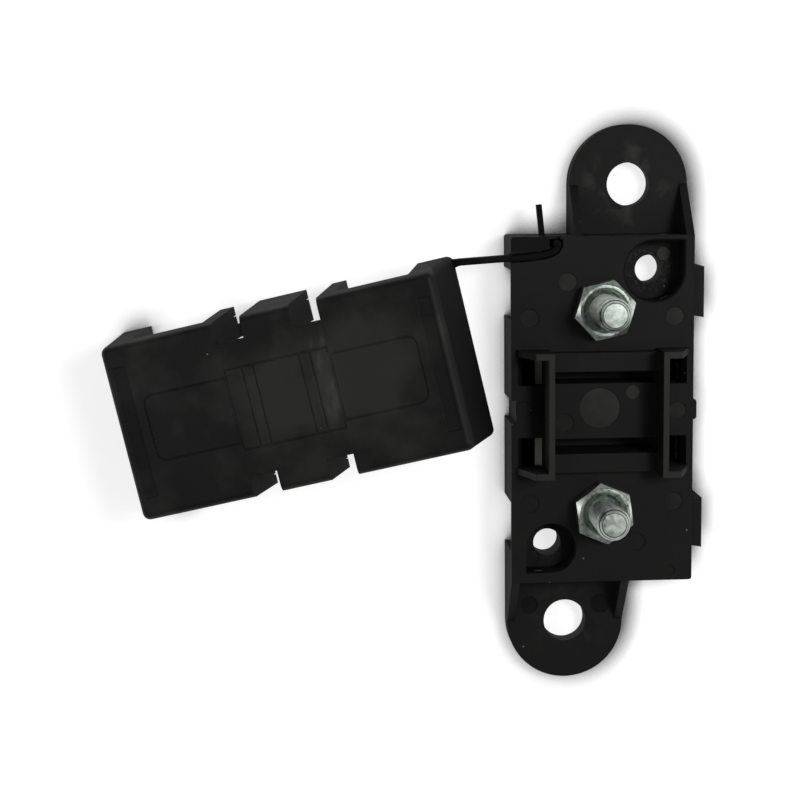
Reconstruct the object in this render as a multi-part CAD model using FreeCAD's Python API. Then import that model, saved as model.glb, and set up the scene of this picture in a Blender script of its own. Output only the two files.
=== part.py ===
import FreeCAD, Part
import math
import os

# Moulded base block, measured from the underside and the midpoint of the two mounting holes
block_width = 27.0
block_length = 51.4
deck_height = 9.0
block_corner_radius = 0.4

# Mounting ears at the two ends
ear_thickness = 3.0
ear_radius = 8.8
ear_reach = 7.3
mounting_hole_diameter = 6.4
gusset_thickness = 1.2

# Studs and nuts that clamp the fuse
stud_spacing = 30.0
stud_diameter = 4.9
stud_above_deck = 10.8
stud_tip_diameter = 3.6
stud_tip_length = 0.9
stud_groove_depth = 0.2
stud_groove_width = 0.35
stud_head_flats = 8.0
stud_head_thickness = 3.0
stud_head_recess = 0.6
stud_head_clearance = 0.05
stud_bore_clearance = 0.05
nut_flats = 8.0
nut_thickness = 2.7
nut_chamfer_diameter = 7.4
nut_countersink_diameter = 5.8
nut_dish_diameter = 6.7
nut_dish_depth = 0.55
nut_seat_clearance = 0.02
nut_turns = {"upper": 73.2, "lower": 97.4}

# Fuse walls, cross bars, troughs and centre panel between the studs
fuse_width = 15.8
wall_thickness = 0.85
wall_length = 18.4
wall_height = 6.0
wall_gusset_thickness = 0.95
wall_gusset_top = 10.6
wall_gusset_foot = 12.8
bar_height = 2.0
bar_inner = 6.05
bar_outer = 8.85
trough_inner = 4.1
trough_floor = 3.0

# Latch slots beside the fuse walls, with a wedge catch on each wall
slot_inner_end = 3.88
slot_outer_end = 8.25
slot_outer_wall = 11.85
slot_mouth_wall = 12.5
slot_lead_depth = 1.0
slot_floor = 4.2
catch_reach = 1.0
catch_underside = 6.6
catch_lip = 6.85
catch_top = 7.25

# Corner recesses for screws, the upper one wider than the lower one
recess_x = 7.6
recess_y = 20.5
upper_recess_diameter = 8.8
lower_recess_diameter = 7.5
upper_recess_rim = 0.25
recess_floor = 4.4
screw_hole_diameter = 4.15

# Dovetail tabs and sockets that gang two bases side by side
gang_centre = 17.25
gang_tab_reach = 1.65
gang_tab_root = 6.9
gang_tab_tip = 7.5
gang_tab_height = 8.0
gang_clearance = 0.2
gang_key_reach = 0.5
gang_key_width = 3.0

# Strap seat in the base and the strap itself, with distances from the block's west side and north end
strap_thickness = 1.0
strap_height = 2.0
strap_seat_clearance = 0.15
strap_inset = 3.14
strap_line = [(1.75, 3.0), (3.58, 2.85), (4.95, 2.64), (5.86, 2.38), (6.5, 2.04), (6.8, 1.6), (6.85, 1.2)]
strap_knob_diameter = 1.3
strap_pivot_gap = 0.1
strap_pivot_out = 0.7
tail_line = [(6.85, 1.2), (6.1, 1.1), (5.4, 0.95), (5.0, 0.55), (4.9, 0.0), (4.44, -4.55)]
tail_width = 0.8
tail_top = 6.8
tail_height = 1.6
strap_pocket = (5.65, 7.6, 0.45, 1.6)
strap_pocket_floor = 4.8
strap_notch = (5.3, 7.3)
strap_notch_depth = 1.2

# Cover, in its own frame with the rim plane at zero height
cover_length = 51.4
cover_width = 27.0
cover_height = 15.5
cover_end_draft = 1.4
cover_side_draft = 0.83
cover_wall = 1.3
cover_edge_radius = 1.1
cover_window_inner = 9.7
cover_window_outer = 20.5
cover_window_height = 12.0
cover_notch_inner = 3.6
cover_notch_outer = 7.6
cover_notch_depth = 9.6
cover_rib_thickness = 0.85
cover_rib_clearance = 0.15
cover_relief_depth = 0.7
cover_relief_height = 5.0
hook_leg_thickness = 0.5
hook_drop = 3.4
hook_height = 0.9
hook_depth = 1.9
hook_inner_end = 4.7
hook_lead = 0.5
figure_groove_width = 0.25
figure_groove_depth = 0.2
figure_block_length = 15.2
figure_block_width = 11.8
figure_blade_end = 20.0
figure_blade_width = 9.7
figure_blade_corner = 1.4
figure_line_inner = 3.35
figure_line_outer = 4.95
band_inner = 21.3
band_outer = 23.2
band_length = 19.0
band_depth = 0.15

# Ribs and roof of the cored pockets on the underside
core_rib = 1.0
core_roof = 6.5

# Ejector marks that the mould leaves, each with its place and diameter
mark_depth = 0.12
deck_marks = [(-5.16, 19.06, 2.7), (10.7, 13.83, 2.7), (-10.73, 13.83, 2.7), (11.24, -0.1, 2.5)]
deck_marks += [(-0.38, 0.42, 6.0), (4.52, 2.71, 2.1), (-5.57, -1.71, 2.7), (-11.78, 0.34, 2.5)]
deck_marks += [(10.75, -13.8, 2.7), (-10.75, -13.75, 2.7), (5.2, -19.79, 2.7), (10.27, -24.22, 1.5)]
ear_marks = [(-10.15, -30.53, 2.7), (0.75, -30.49, 3.0)]
recess_mark = (9.8, 22.75, 2.0)

# Pose of the opened cover where it lies beside the base
cover_x = -43.66
cover_y = 4.32
cover_yaw = 13.29
cover_pitch = 11.09
cover_roll = -2.01
root_inset = 1.2
root_reach = 0.8
root_drop = 0.7

# Places that follow from the sizes above
half_width = block_width / 2
half_length = block_length / 2
ear_x = half_width - ear_radius
ear_y = half_length + ear_reach
fuse_side = fuse_width / 2
wall_outer = fuse_side + wall_thickness
wall_end = wall_length / 2
stud_y = stud_spacing / 2
strap_y = half_length - strap_inset
strap_floor = deck_height - strap_height
strap_points = [(x - half_width, half_length - y) for x, y in strap_line]
tail_points = [(x - half_width, half_length - y) for x, y in tail_line]
pivot_a = FreeCAD.Vector(-half_width - strap_pivot_out, strap_y, deck_height - strap_height / 2)
cover_half = cover_length / 2
cover_side = cover_width / 2


def box(x0, x1, y0, y1, z0, z1):
    return Part.makeBox(x1 - x0, y1 - y0, z1 - z0, FreeCAD.Vector(x0, y0, z0))


def cylinder(x, y, z0, z1, diameter):
    return Part.makeCylinder(diameter / 2, z1 - z0, FreeCAD.Vector(x, y, z0))


def extrude(points, direction):
    corners = [FreeCAD.Vector(*p) for p in points]
    return Part.Face(Part.makePolygon(corners + corners[:1])).extrude(FreeCAD.Vector(*direction))


def revolve(profile, x, y):
    corners = [FreeCAD.Vector(r, 0, z) for r, z in profile]
    face = Part.Face(Part.makePolygon(corners + corners[:1]))
    solid = face.revolve(FreeCAD.Vector(0, 0, 0), FreeCAD.Vector(0, 0, 1), 360)
    solid.translate(FreeCAD.Vector(x, y, 0))
    return solid


def hexagon(x, y, z0, z1, flats, turn):
    radius = flats / math.sqrt(3)
    angles = [math.radians(turn + 60 * k) for k in range(6)]
    corners = [(x + radius * math.cos(a), y + radius * math.sin(a), z0) for a in angles]
    return extrude(corners, (0, 0, z1 - z0))


def with_half_turn(shape):
    turned = shape.copy()
    turned.rotate(FreeCAD.Vector(0, 0, 0), FreeCAD.Vector(0, 0, 1), 180)
    return [shape, turned]


def mirrored(shape, x_sign, y_sign):
    copy = shape.copy()
    if x_sign < 0:
        copy = copy.mirror(FreeCAD.Vector(0, 0, 0), FreeCAD.Vector(1, 0, 0))
    if y_sign < 0:
        copy = copy.mirror(FreeCAD.Vector(0, 0, 0), FreeCAD.Vector(0, 1, 0))
    return copy


def four_corners(shape):
    return [mirrored(shape, i, j) for i in (1, -1) for j in (1, -1)]


def join(shapes):
    return shapes[0].multiFuse(shapes[1:]).removeSplitter() if len(shapes) > 1 else shapes[0]


def lowest_edges(shape, z):
    return [e for e in shape.Edges if all(abs(v.Z - z) < 1e-6 for v in e.Vertexes)]


# Block with softened upright corners
def base_block():
    block = box(-half_width, half_width, -half_length, half_length, 0, deck_height)
    upright = [e for e in block.Edges if abs(e.Vertexes[0].Z - e.Vertexes[1].Z) > deck_height / 2]
    return block.makeFillet(block_corner_radius, upright)


# Ear plate, tangent to one side of the block, with its two triangular gussets
def ear():
    low = ear_x - ear_radius
    high = ear_x + ear_radius
    plate = box(low, high, half_length - gusset_thickness, ear_y, 0, ear_thickness)
    parts = [plate, cylinder(ear_x, ear_y, 0, ear_thickness, 2 * ear_radius)]
    for x in (low, high - gusset_thickness):
        root = half_length - gusset_thickness
        side = [(x, root, 0), (x, ear_y, 0), (x, ear_y, ear_thickness)]
        side += [(x, half_length, deck_height), (x, root, deck_height)]
        parts.append(extrude(side, (gusset_thickness, 0, 0)))
    return join(parts)


# Fuse wall with a buttress at each end
def fuse_wall():
    top = deck_height + wall_height
    root = deck_height - gusset_thickness
    parts = [box(fuse_side, wall_outer, -wall_end, wall_end, root, top)]
    for y in (-wall_end, wall_end - wall_gusset_thickness):
        side = [(fuse_side, y, root), (wall_gusset_foot, y, root), (wall_gusset_foot, y, deck_height)]
        side += [(wall_gusset_top, y, top), (fuse_side, y, top)]
        parts.append(extrude(side, (0, wall_gusset_thickness, 0)))
    return join(parts)


# Outline of a dovetail that widens outwards from the line of a side face
def dovetail(side, centre, root, tip, reach):
    x1 = side + reach
    inside = side - reach / 2
    outline = [(inside, centre - root / 2, 0), (side, centre - root / 2, 0), (x1, centre - tip / 2, 0)]
    outline += [(x1, centre + tip / 2, 0), (side, centre + root / 2, 0), (inside, centre + root / 2, 0)]
    return extrude(outline, (0, 0, gang_tab_height))


def socket(centre):
    root = gang_tab_root + 2 * gang_clearance
    tip = gang_tab_tip + 2 * gang_clearance
    reach = gang_tab_reach + gang_clearance
    side = -half_width
    inner = side + reach
    low = centre - root / 2
    high = centre + root / 2
    outline = [(side - 1, low, -1), (side, low, -1), (inner, centre - tip / 2, -1)]
    outline += [(inner, centre + tip / 2, -1), (side, high, -1), (side - 1, high, -1)]
    return extrude(outline, (0, 0, gang_tab_height + gang_clearance + 1))


def ganging_tabs():
    tabs = []
    for centre in (-gang_centre, gang_centre):
        tabs.append(dovetail(half_width, centre, gang_tab_root, gang_tab_tip, gang_tab_reach))
    half = gang_key_width / 2
    key = box(half_width - gang_key_reach, half_width + gang_key_reach, -half, half, 0, deck_height)
    outer = [e for e in key.Edges if all(v.X > half_width for v in e.Vertexes)]
    upright = [e for e in outer if abs(e.Vertexes[0].Z - e.Vertexes[1].Z) > deck_height / 2]
    return tabs + [key.makeFillet(gang_key_reach * 0.9, upright)]


def ganging_sockets():
    slots = [socket(c) for c in (-gang_centre, gang_centre)]
    half = gang_key_width / 2 + gang_clearance
    depth = gang_key_reach + gang_clearance
    return slots + [box(-half_width - 1, -half_width + depth, -half, half, -1, deck_height + 1)]


# Round seat for a screw's head, joined to the block's corner, with a screw hole and an eased rim
def screw_recess(diameter, rim):
    top = deck_height + 1
    reach = diameter / 2

    def well(extra, z0):
        size = reach + extra
        corner = box(recess_x, recess_x + size, recess_y, recess_y + size, z0, top)
        return join([cylinder(recess_x, recess_y, z0, top, 2 * size), corner])

    pieces = [well(0, recess_floor), cylinder(recess_x, recess_y, -1, recess_floor + 1, screw_hole_diameter)]
    if rim > 0:
        mouth = well(rim, deck_height - rim)
        pieces.append(mouth.makeChamfer(rim * 0.999, lowest_edges(mouth, deck_height - rim)))
    x, y, mark = recess_mark
    return pieces + [cylinder(x, y, recess_floor - mark_depth, deck_height, mark)]


# Latch slot with a lead-in on its outer wall
def latch_slot():
    top = deck_height + 1
    lead = deck_height - slot_lead_depth
    y = slot_inner_end
    side = [(wall_outer, y, slot_floor), (slot_outer_wall, y, slot_floor), (slot_outer_wall, y, lead)]
    side += [(slot_mouth_wall, y, deck_height), (slot_mouth_wall, y, top), (wall_outer, y, top)]
    return extrude(side, (0, slot_outer_end - slot_inner_end, 0))


# Wedge that the hook of the cover clips under, as long as its slot
def wedge_catch():
    y = slot_inner_end
    root = wall_outer - wall_thickness / 2
    lip = wall_outer + catch_reach
    side = [(root, y, catch_underside), (lip, y, catch_underside), (lip, y, catch_lip)]
    side += [(wall_outer, y, catch_top), (root, y, catch_top)]
    return extrude(side, (0, slot_outer_end - slot_inner_end, 0))


# Ribbon of even width along a line of points in plan
def ribbon(points, width, z0, z1):
    left = []
    right = []
    for k, (x, y) in enumerate(points):
        before = points[max(k - 1, 0)]
        after = points[min(k + 1, len(points) - 1)]
        a = FreeCAD.Vector(x - before[0], y - before[1], 0)
        b = FreeCAD.Vector(after[0] - x, after[1] - y, 0)
        a = b if a.Length == 0 else a
        b = a if b.Length == 0 else b
        along = (FreeCAD.Vector(a).normalize() + FreeCAD.Vector(b).normalize()).normalize()
        half = width / 2 / (along * FreeCAD.Vector(a).normalize())
        left.append((x - along.y * half, y + along.x * half, z0))
        right.append((x + along.y * half, y - along.x * half, z0))
    return extrude(left + right[::-1], (0, 0, z1 - z0))


# Hooked end of the strap with its round knob, seen from above
def strap_hook(extra, x_start, z0, z1):
    line = [(x_start, strap_y)] + strap_points
    x, y = strap_points[-1]
    knob = cylinder(x, y, z0, z1, strap_knob_diameter + extra)
    return [ribbon(line, strap_thickness + extra, z0, z1), knob]


# Channel for the strap, pocket round its knob, notch in the north edge and tunnel for the tail
def strap_seat():
    play = 2 * strap_seat_clearance
    top = deck_height + 1
    cuts = strap_hook(play, -half_width - 1, strap_floor, top)
    west = -half_width
    x0, x1, y0, y1 = strap_pocket
    cuts.append(box(west + x0, west + x1, half_length - y1, half_length - y0, strap_pocket_floor, top))
    x, y = strap_points[-1]
    cuts.append(cylinder(x, y, strap_pocket_floor, top, strap_knob_diameter + play))
    x0, x1 = strap_notch
    low = deck_height - strap_notch_depth
    cuts.append(box(west + x0, west + x1, half_length - y0, half_length + 1, low, top))
    bottom = tail_top - tail_height - strap_seat_clearance
    cuts.append(ribbon(tail_points, tail_width + play, bottom, tail_top + strap_seat_clearance))
    return cuts


# Cored pockets and stud head seats on the hidden underside
def underside():
    rib = core_rib
    roof = core_roof
    core_x = fuse_side - rib
    seat_end = stud_y - stud_head_flats * 0.66
    cuts = []
    for sign in (1, -1):
        x0, x1 = sorted((sign * rib / 2, sign * core_x))
        cuts.append(box(x0, x1, -trough_inner + rib, trough_inner - rib, -1, roof))
        for end in (1, -1):
            y0, y1 = sorted((end * (bar_inner + rib), end * seat_end))
            cuts.append(box(x0, x1, y0, y1, -1, roof))
    start = slot_outer_end + 2 * rib
    west = -half_width + gang_tab_reach + gang_clearance + rib
    inner = -stud_head_flats / math.sqrt(3) - 2 * rib
    split = gang_centre - rib
    cuts += with_half_turn(box(west, inner, start, split - rib / 2, -1, roof))
    cuts += with_half_turn(box(west, inner, split + rib / 2, strap_y - 2 * rib, -1, roof))
    end = recess_y - upper_recess_diameter / 2 - rib
    cuts += with_half_turn(box(-inner, half_width - rib, start, end, -1, roof))
    seat = stud_head_recess + stud_head_thickness
    for y in (-stud_y, stud_y):
        cuts.append(hexagon(0, y, -1, seat, stud_head_flats + 2 * stud_head_clearance, 0))
        cuts.append(cylinder(0, y, 0, deck_height + 1, stud_diameter + 2 * stud_bore_clearance))
    return cuts


def ejector_marks():
    marks = [cylinder(x, y, deck_height - mark_depth, deck_height + 1, d) for x, y, d in deck_marks]
    return marks + [cylinder(x, y, ear_thickness - mark_depth, deck_height, d) for x, y, d in ear_marks]


def base_housing():
    solids = [base_block()] + with_half_turn(ear()) + with_half_turn(fuse_wall()) + ganging_tabs()
    for sign in (1, -1):
        y0, y1 = sorted((sign * bar_inner, sign * bar_outer))
        solids.append(box(-fuse_side, fuse_side, y0, y1, deck_height - 1, deck_height + bar_height))
    body = join(solids)
    cuts = ganging_sockets() + strap_seat() + underside() + ejector_marks() + four_corners(latch_slot())
    cuts += screw_recess(upper_recess_diameter, upper_recess_rim)
    cuts += [with_half_turn(piece)[1] for piece in screw_recess(lower_recess_diameter, 0)]
    for sign in (1, -1):
        y0, y1 = sorted((sign * trough_inner, sign * bar_inner))
        cuts.append(box(-fuse_side, fuse_side, y0, y1, trough_floor, deck_height + 1))
    cuts += with_half_turn(cylinder(ear_x, ear_y, -1, ear_thickness + 1, mounting_hole_diameter))
    body = body.cut(cuts)
    return join([body] + four_corners(wedge_catch()))


# Stud with a hexagon head held under the deck and a chamfered, grooved tip
def stud(y):
    tip = deck_height + stud_above_deck
    neck = tip - stud_tip_length
    radius = stud_diameter / 2
    groove = radius - stud_groove_depth
    seat = stud_head_recess + stud_head_thickness
    profile = [(0, seat - 1), (radius, seat - 1), (radius, neck - 2 * stud_groove_width)]
    profile += [(groove, neck - 1.5 * stud_groove_width), (groove, neck - stud_groove_width / 2)]
    profile += [(radius, neck), (stud_tip_diameter / 2, tip), (0, tip)]
    head = hexagon(0, y, stud_head_recess, seat, stud_head_flats, 0)
    return join([revolve(profile, 0, y), head])


# Thin hexagon nut, chamfered on both faces, countersunk below and dished on top
def nut(y, turn):
    z0 = deck_height + nut_seat_clearance
    z1 = z0 + nut_thickness
    corner = nut_flats / math.sqrt(3) + 0.1
    ring = nut_chamfer_diameter / 2
    drop = (corner - ring) * math.tan(math.radians(30))
    side = [(0, z0), (ring, z0), (corner, z0 + drop), (corner, z1 - drop), (ring, z1), (0, z1)]
    barrel = revolve(side, 0, y)
    bore = stud_diameter / 2 + stud_bore_clearance
    sink = nut_countersink_diameter / 2
    dish = nut_dish_diameter / 2
    hole = [(0, z0 - 1), (sink, z0 - 1), (sink, z0), (bore, z0 + sink - bore), (bore, z1 - nut_dish_depth)]
    hole += [(dish, z1), (dish, z1 + 1), (0, z1 + 1)]
    return hexagon(0, y, z0, z1, nut_flats, turn).common(barrel).cut(revolve(hole, 0, y))


def rectangle(half_u, half_v, w):
    corners = [(-half_u, -half_v), (half_u, -half_v), (half_u, half_v), (-half_u, half_v)]
    points = [FreeCAD.Vector(u, v, w) for u, v in corners]
    return Part.makePolygon(points + points[:1])


# Drafted box, like the outer or inner form of the cover
def drafted(inset, w0, w1):
    def wire(w):
        share = w / cover_height
        half_u = cover_half - cover_end_draft * share - inset
        half_v = cover_side - cover_side_draft * share - inset
        return rectangle(half_u, half_v, w)
    return Part.makeLoft([wire(w0), wire(w1)], True, True)


def cover_shell():
    outer = drafted(0, 0, cover_height)
    soft = [e for e in outer.Edges if not all(abs(v.Z) < 1e-6 for v in e.Vertexes)]
    outer = outer.makeFillet(cover_edge_radius, soft)
    return outer.cut(drafted(cover_wall, -1, cover_height - cover_wall))


# Window in the long wall beside a stud, where the cable lug leaves
def cover_window():
    return box(cover_window_inner, cover_window_outer, cover_side - 2 * cover_wall - cover_side_draft,
               cover_side + 1, -1, cover_window_height)


def cover_notch():
    return box(cover_notch_inner, cover_notch_outer, cover_notch_depth, cover_side + 1, -1, cover_height + 1)


# Relief in the long wall for the buttress of the fuse wall
def cover_relief():
    gap = cover_rib_clearance
    inner = cover_side - cover_wall
    start = wall_end - wall_gusset_thickness - gap
    return box(start, wall_end + gap, inner - 1, inner + cover_relief_depth, -1, cover_relief_height)


# Rib on the inner side of a notch, and the leg with its clip hook on the outer side
def notch_ribs():
    start = wall_outer + cover_rib_clearance
    end = cover_side - cover_wall / 2 - cover_side_draft
    roof = cover_height - cover_wall / 2
    inner = box(cover_notch_inner - cover_rib_thickness, cover_notch_inner, start, end, 0, roof)
    outer = box(cover_notch_outer, cover_notch_outer + hook_leg_thickness, start, end, 0, roof)
    hook_out = start + hook_depth
    leg = box(cover_notch_outer, cover_notch_outer + hook_leg_thickness, start, hook_out, -hook_drop, roof)
    low = -hook_drop
    high = low + hook_height
    u = hook_inner_end
    bar = [(u, start, high), (u, start, low + hook_lead), (u, start + hook_lead, low)]
    bar += [(u, hook_out, low), (u, hook_out, high)]
    hook = extrude(bar, (cover_notch_outer + hook_leg_thickness - hook_inner_end, 0, 0))
    return [inner, join([outer, leg, hook])]


# Narrow groove along a closed outline on the top face
def outline_groove(points):
    w = cover_height - figure_groove_depth
    wire = Part.makePolygon([FreeCAD.Vector(u, v, w) for u, v in points + points[:1]])
    face = Part.Face(wire)
    inner = Part.Face(wire.makeOffset2D(-figure_groove_width, 2))
    return face.cut(inner).extrude(FreeCAD.Vector(0, 0, 1))


# Fuse figure on the top face: a body with two cap lines on each side, and two blades
def fuse_figure():
    half_u = figure_block_length / 2
    half_v = figure_block_width / 2
    grooves = [outline_groove([(-half_u, -half_v), (half_u, -half_v), (half_u, half_v), (-half_u, half_v)])]
    w = cover_height - figure_groove_depth
    half = figure_groove_width / 2
    for u in (figure_line_inner, figure_line_outer, -figure_line_inner, -figure_line_outer):
        grooves.append(box(u - half, u + half, -half_v, half_v, w, w + 1))
    blade = figure_blade_width / 2
    e = figure_blade_end
    k = figure_blade_corner
    low = cover_height - band_depth
    steps = [math.radians(30 * n) for n in range(4)]
    corner = [(e - k + k * math.sin(a), blade - k + k * math.cos(a)) for a in steps]
    for s in (1, -1):
        points = [(s * half_u, blade)] + [(s * u, v) for u, v in corner]
        points += [(s * u, -v) for u, v in corner[::-1]] + [(s * half_u, -blade)]
        grooves.append(outline_groove(points))
        u0, u1 = sorted((s * band_inner, s * band_outer))
        grooves.append(box(u0, u1, -band_length / 2, band_length / 2, low, cover_height + 1))
    return grooves


def cover_placement():
    turn = FreeCAD.Rotation(FreeCAD.Vector(0, 0, 1), cover_yaw)
    turn = turn.multiply(FreeCAD.Rotation(FreeCAD.Vector(0, 1, 0), -cover_pitch))
    turn = turn.multiply(FreeCAD.Rotation(FreeCAD.Vector(1, 0, 0), cover_roll))
    corners = [FreeCAD.Vector(i * cover_half, j * cover_side, 0) for i in (1, -1) for j in (1, -1)]
    lift = -min(turn.multVec(c).z for c in corners)
    return FreeCAD.Placement(FreeCAD.Vector(cover_x, cover_y, lift), turn)


def root_pivot():
    w = strap_height / 2 - root_drop
    return cover_placement().multVec(FreeCAD.Vector(cover_half + root_reach, cover_side - root_inset, w))


# Cover with its windows, notches, hooks, fuse figure and the moulded root of the strap
def cover():
    shell = cover_shell()
    cuts = fuse_figure()
    for cut in (cover_window(), cover_notch(), cover_relief()):
        cuts += four_corners(cut)
    shell = shell.cut(cuts)
    ribs = []
    for rib in notch_ribs():
        ribs += four_corners(rib)
    v = cover_side - root_inset
    half = strap_thickness / 2
    start = cover_half - cover_wall
    root = box(start, cover_half + root_reach, v - half, v + half, -root_drop, strap_height - root_drop)
    solid = join([shell] + ribs + [root])
    solid.Placement = cover_placement()
    pivot = root_pivot()
    limit = half + strap_pivot_gap
    reach = strap_height * 2
    trim = box(-limit, reach, -reach, reach, -reach, reach)
    trim.rotate(FreeCAD.Vector(0, 0, 0), FreeCAD.Vector(0, 0, 1), cover_yaw)
    trim.translate(pivot)
    return solid.cut(trim)


# Free run of the strap, rising from the base to the cover, with rounded ends on the two bend lines
def tether_span():
    pivot_b = root_pivot()
    reach = FreeCAD.Vector(pivot_b.x - pivot_a.x, pivot_b.y - pivot_a.y, 0)
    across = FreeCAD.Vector(-reach.y, reach.x, 0).normalize() * (strap_thickness / 2)
    half = FreeCAD.Vector(0, 0, strap_height / 2)
    side = [pivot_a - half - across, pivot_b - half - across]
    side += [pivot_b + half - across, pivot_a + half - across]
    parts = [Part.Face(Part.makePolygon(side + side[:1])).extrude(across * 2)]
    for p in (pivot_a, pivot_b):
        parts.append(cylinder(p.x, p.y, p.z - strap_height / 2, p.z + strap_height / 2, strap_thickness))
    return join(parts)


# Strap's end in the base, with a post under the knob and the thin tail that pulls it through
def tether_anchor():
    start = pivot_a.x + strap_thickness / 2 + strap_pivot_gap
    parts = strap_hook(0, start, strap_floor, deck_height)
    x, y = strap_points[-1]
    bottom = tail_top - tail_height
    parts.append(cylinder(x, y, bottom, deck_height, strap_knob_diameter))
    parts.append(ribbon(tail_points, tail_width, bottom, tail_top))
    return join(parts)


def save(name, shape):
    if shape.ShapeType == "Compound" and len(shape.Solids) == 1:
        shape = shape.Solids[0]
    print(name, "solids", len(shape.Solids), "valid", shape.isValid(), "volume", round(shape.Volume, 2))
    shape.exportStep("parts/" + name + ".step")


os.makedirs("parts", exist_ok=True)
save("base_housing", base_housing())
save("upper_stud", stud(stud_y))
save("lower_stud", stud(-stud_y))
save("upper_nut", nut(stud_y, nut_turns["upper"]))
save("lower_nut", nut(-stud_y, nut_turns["lower"]))
save("tether_anchor", tether_anchor())
save("tether_span", tether_span())
save("cover", cover())
print("pivot A", tuple(round(c, 3) for c in pivot_a))
print("pivot B", tuple(round(c, 3) for c in root_pivot()))
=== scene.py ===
import math
import bpy
import bmesh
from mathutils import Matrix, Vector


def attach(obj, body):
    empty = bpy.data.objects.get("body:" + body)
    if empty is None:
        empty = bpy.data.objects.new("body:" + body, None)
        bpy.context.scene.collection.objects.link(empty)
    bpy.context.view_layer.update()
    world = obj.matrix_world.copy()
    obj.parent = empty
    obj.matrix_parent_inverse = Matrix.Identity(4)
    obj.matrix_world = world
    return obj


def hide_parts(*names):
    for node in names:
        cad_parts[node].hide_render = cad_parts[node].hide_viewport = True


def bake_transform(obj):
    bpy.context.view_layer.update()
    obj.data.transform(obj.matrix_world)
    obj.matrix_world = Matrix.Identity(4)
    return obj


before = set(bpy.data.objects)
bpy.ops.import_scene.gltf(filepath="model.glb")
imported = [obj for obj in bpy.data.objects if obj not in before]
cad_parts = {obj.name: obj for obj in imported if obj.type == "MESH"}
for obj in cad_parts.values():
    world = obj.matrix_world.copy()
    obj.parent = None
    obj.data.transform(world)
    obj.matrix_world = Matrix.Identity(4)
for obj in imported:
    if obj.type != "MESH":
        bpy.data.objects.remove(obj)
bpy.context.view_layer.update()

# Base housing: one injection moulding with ears, fuse walls, latch slots and dovetail tabs.
# Glass-filled nylon in black, moulded in a lightly etched tool, so flat faces are matt
# and the moulded edges, a tenth of a millimetre round, catch a thin line of light.
mm = 0.001
base_colours = ("#0c0c0c", "#131312")
base_roughness = (0.55, 0.65)
base_grain = 0.12
base_edge_round = 0.12
base_dust_above = 0.72
cloud_size = 6.0
speck_size = 0.35
cloud_share = 0.7
dust_spacing = 2.6
dust_reach = 0.045
dust_colour = "#6c6c68"
grain_depth = 0.02
grain_strength = 0.18
shine_on_roughness = -0.12
edge_on_roughness = 0.9


# Adds one node. An input is given as a plain value, a socket, or a node whose first output is meant
def add(tree, kind, inputs=None, **settings):
    node = tree.nodes.new(kind)
    for name, value in settings.items():
        setattr(node, name, value)
    for key, value in (inputs or {}).items():
        if isinstance(value, bpy.types.Node):
            value = value.outputs[0]
        if isinstance(value, bpy.types.NodeSocket):
            tree.links.new(value, node.inputs[key])
        else:
            node.inputs[key].default_value = value
    return node


def srgb(code):
    channels = [int(code[i:i + 2], 16) / 255 for i in (1, 3, 5)]
    linear = [c / 12.92 if c <= 0.04045 else ((c + 0.055) / 1.055) ** 2.4 for c in channels]
    return linear + [1.0]


def new_material(name):
    material = bpy.data.materials.new(name)
    material.use_nodes = True
    material.node_tree.nodes.clear()
    return material, material.node_tree


def dress(piece, material):
    piece.data.materials.clear()
    piece.data.materials.append(material)


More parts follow.
